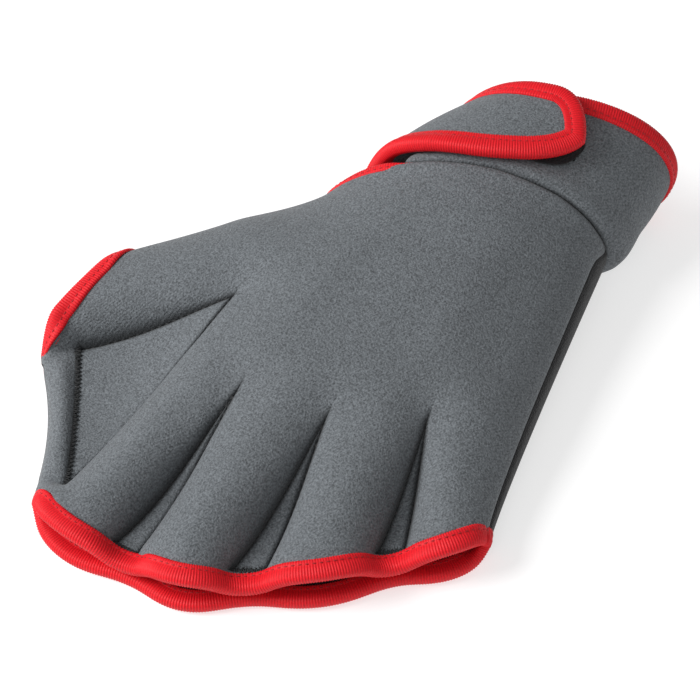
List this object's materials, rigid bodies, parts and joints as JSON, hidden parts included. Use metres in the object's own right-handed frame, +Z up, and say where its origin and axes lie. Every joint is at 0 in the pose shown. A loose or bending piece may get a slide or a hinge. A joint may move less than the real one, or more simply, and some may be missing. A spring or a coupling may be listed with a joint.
{
  "type": "webbed swim glove",
  "caption": "Left-hand webbed swim glove of laminated neoprene with bound finger mouth, thumb opening, cuff and a wrist strap.",
  "frame": {"origin": "middle of the bounding box's bottom, where the palm lies flat", "axes": "+X to the little finger side, +Y from the fingers to the wrist, +Z up from the palm to the back of the hand"},
  "size_m": [0.1506, 0.2064, 0.0538],
  "materials": {
    "neoprene": "grey knit-faced neoprene",
    "palm_neoprene": "black knit-faced neoprene",
    "binding_tape": "red ribbed tape",
    "hook_tape": "black hook tape"
  },
  "bodies": {
    "root": {"back_panel": "neoprene", "palm_panel": "palm_neoprene", "thumb_web": "neoprene", "index_web": "neoprene", "middle_web": "neoprene", "ring_web": "neoprene", "finger_binding": "binding_tape", "thumb_binding": "binding_tape", "slit_binding": "binding_tape", "cuff": "neoprene", "cuff_binding": "binding_tape", "strap": "neoprene", "strap_binding": "binding_tape", "hook_patch": "hook_tape"}
  },
  "joints": []
}
